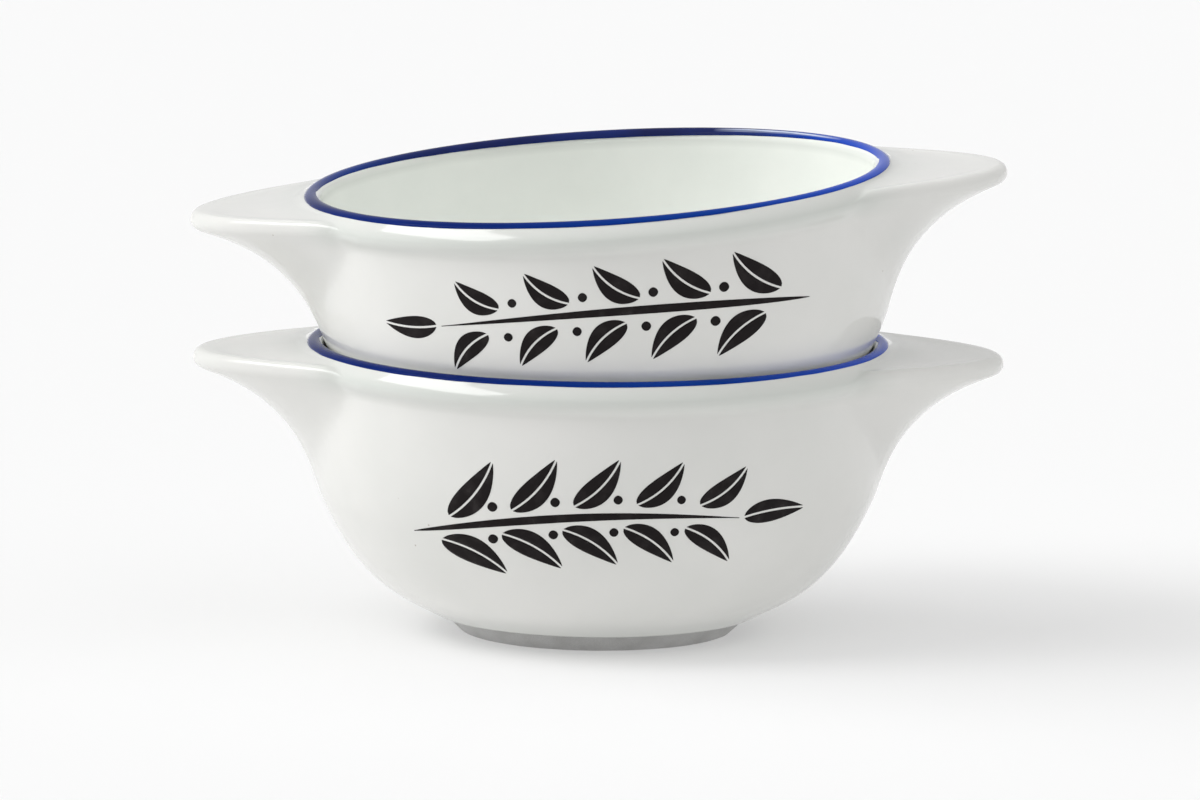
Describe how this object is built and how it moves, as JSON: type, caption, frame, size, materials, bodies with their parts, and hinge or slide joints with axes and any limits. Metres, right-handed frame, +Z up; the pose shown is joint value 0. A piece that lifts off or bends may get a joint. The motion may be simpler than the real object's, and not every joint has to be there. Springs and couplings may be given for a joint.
{
  "type": "nested eared bowls",
  "caption": "Nested round earthenware bowls, white-glazed, each with flat lug ears, a cobalt line on the rim and a bare foot ring. The upper bowl leans a little and lifts out.",
  "frame": {"origin": "on the table, under the middle of the lower bowl", "axes": "+X through the right ears, +Z up, and -Y towards the painted front"},
  "size_m": [0.186, 0.1376, 0.1095],
  "materials": {
    "glaze": "white gloss glaze",
    "biscuit": "bare grey biscuit, matt",
    "cobalt": "cobalt blue fired under the glaze, gloss"
  },
  "bodies": {
    "lower_bowl": {"lower_bowl_wall": "glaze", "lower_foot_ring": "biscuit", "lower_left_ear": "glaze", "lower_right_ear": "glaze", "lower_rim_band": "cobalt"},
    "upper_bowl": {"upper_bowl_wall": "glaze", "upper_foot_ring": "biscuit", "upper_left_ear": "glaze", "upper_right_ear": "glaze", "upper_rim_band": "cobalt"}
  },
  "joints": [
    {"name": "upper_bowl_lift", "type": "slide", "parent": "lower_bowl", "child": "upper_bowl", "axis": [0, 0, 1], "range_m": [0, 0.08]}
  ]
}
